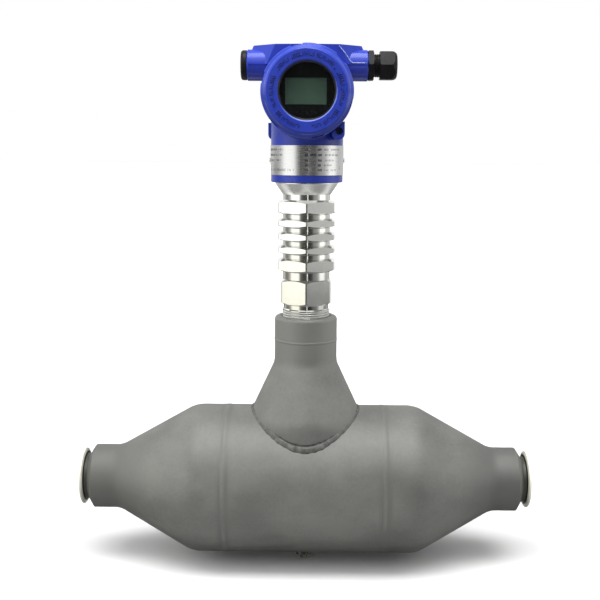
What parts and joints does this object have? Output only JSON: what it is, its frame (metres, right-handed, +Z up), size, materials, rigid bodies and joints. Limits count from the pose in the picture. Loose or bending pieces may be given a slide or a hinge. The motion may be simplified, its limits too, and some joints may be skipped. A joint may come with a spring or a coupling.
{
  "type": "tuning fork density meter",
  "caption": "Inline density meter: welded steel flow chamber with clamp ferrules, a branch holding a vibrating fork on a finned neck, and a blue display housing with a cable gland.",
  "frame": {"origin": "centre of the inlet ferrule's face, on the pipe axis", "axes": "+X along the flow towards the outlet, +Z up along the sensor neck, -Y the way the display faces"},
  "size_m": [0.405, 0.1338, 0.4609],
  "materials": {
    "blasted_steel": "bead-blasted satin",
    "weld_steel": "rough weld bead",
    "polished_steel": "turned and polished",
    "fork_steel": "ground",
    "plate_steel": "fine brushed sheet",
    "screw_steel": "dark plated",
    "blue_paint": "satin powder coat",
    "black_nylon": "moulded",
    "bezel_black": "fine texture",
    "lcd_face": "reflective display, switched off",
    "window_glass": "clear",
    "seal_rubber": "moulded",
    "key_rubber": "moulded",
    "retainer_aluminium": "turned",
    "circuit_board": "solder mask",
    "terminal_plastic": "moulded",
    "post_brass": "turned",
    "piezo_ceramic": "fired",
    "lead_sheath": "extruded"
  },
  "bodies": {
    "flow_chamber": {"centre_tube": "blasted_steel", "inlet_reducer": "blasted_steel", "outlet_reducer": "blasted_steel", "inlet_ferrule": "polished_steel", "outlet_ferrule": "polished_steel", "branch_reducer": "blasted_steel", "branch_collar": "blasted_steel", "branch_weld": "weld_steel", "inlet_seam_weld": "blasted_steel", "outlet_seam_weld": "blasted_steel", "collar_weld": "weld_steel", "drain_boss": "weld_steel", "drain_plug": "polished_steel", "sensor_neck": "polished_steel", "tuning_fork": "fork_steel", "drive_piezo": "piezo_ceramic", "pickup_piezo": "piezo_ceramic", "temperature_probe": "fork_steel", "signal_lead": "lead_sheath", "feedthrough": "fork_steel"},
    "transmitter": {"housing": "blue_paint", "swivel_lock_screw": "screw_steel", "front_lock_screw": "screw_steel", "rear_lock_screw": "screw_steel", "nameplate": "plate_steel", "nameplate_rivets": "polished_steel", "display_module": "bezel_black", "lcd_panel": "lcd_face", "main_board": "circuit_board", "board_posts": "post_brass", "display_posts": "post_brass", "terminal_block": "terminal_plastic", "terminal_screws": "post_brass", "conduit_plug": "black_nylon", "gland_body": "black_nylon"},
    "front_cover_turner": {"front_cover_seal": "seal_rubber"},
    "front_cover_set": {"front_cover": "blue_paint", "window_gasket": "seal_rubber", "window_glass": "window_glass", "window_retainer": "retainer_aluminium"},
    "rear_cover_turner": {"rear_cover_seal": "seal_rubber"},
    "rear_cover_set": {"rear_cover": "blue_paint"},
    "gland_nut_turner": {"gland_seal": "seal_rubber"},
    "gland_nut_set": {"gland_nut": "black_nylon"},
    "key_left": {"display_key_left": "key_rubber"},
    "key_centre": {"display_key_centre": "key_rubber"},
    "key_right": {"display_key_right": "key_rubber"}
  },
  "joints": [
    {"name": "housing_swivel", "type": "hinge", "parent": "flow_chamber", "child": "transmitter", "pos_m": [0.2025, 0, 0.28], "axis": [0, 0, 1], "range_deg": [-175, 175]},
    {"name": "front_cover_turn", "type": "hinge", "parent": "transmitter", "child": "front_cover_turner", "pos_m": [0.2025, 0, 0.3445], "axis": [0, -1, 0], "range_deg": [0, 2160]},
    {"name": "front_cover_travel", "type": "slide", "parent": "front_cover_turner", "child": "front_cover_set", "axis": [0, -1, 0], "range_m": [0, 0.012]},
    {"name": "rear_cover_turn", "type": "hinge", "parent": "transmitter", "child": "rear_cover_turner", "pos_m": [0.2025, 0, 0.3445], "axis": [0, 1, 0], "range_deg": [0, 2160]},
    {"name": "rear_cover_travel", "type": "slide", "parent": "rear_cover_turner", "child": "rear_cover_set", "axis": [0, 1, 0], "range_m": [0, 0.012]},
    {"name": "gland_nut_turn", "type": "hinge", "parent": "transmitter", "child": "gland_nut_turner", "pos_m": [0.2645, 0, 0.369], "axis": [1, 0, 0], "range_deg": [-720, 1440]},
    {"name": "gland_nut_travel", "type": "slide", "parent": "gland_nut_turner", "child": "gland_nut_set", "axis": [1, 0, 0], "range_m": [-0.003, 0.006]},
    {"name": "key_left_press", "type": "slide", "parent": "transmitter", "child": "key_left", "axis": [0, 1, 0], "range_m": [0, 0.0006], "stiffness_N_per_m": 800, "springref_m": -0.0005},
    {"name": "key_centre_press", "type": "slide", "parent": "transmitter", "child": "key_centre", "axis": [0, 1, 0], "range_m": [0, 0.0006], "stiffness_N_per_m": 800, "springref_m": -0.0005},
    {"name": "key_right_press", "type": "slide", "parent": "transmitter", "child": "key_right", "axis": [0, 1, 0], "range_m": [0, 0.0006], "stiffness_N_per_m": 800, "springref_m": -0.0005}
  ],
  "couplings": [
    {"joint": "front_cover_travel", "follows": "front_cover_turn", "m_per_rad": 0.00031831},
    {"joint": "rear_cover_travel", "follows": "rear_cover_turn", "m_per_rad": 0.00031831},
    {"joint": "gland_nut_travel", "follows": "gland_nut_turn", "m_per_rad": 0.00023873}
  ]
}
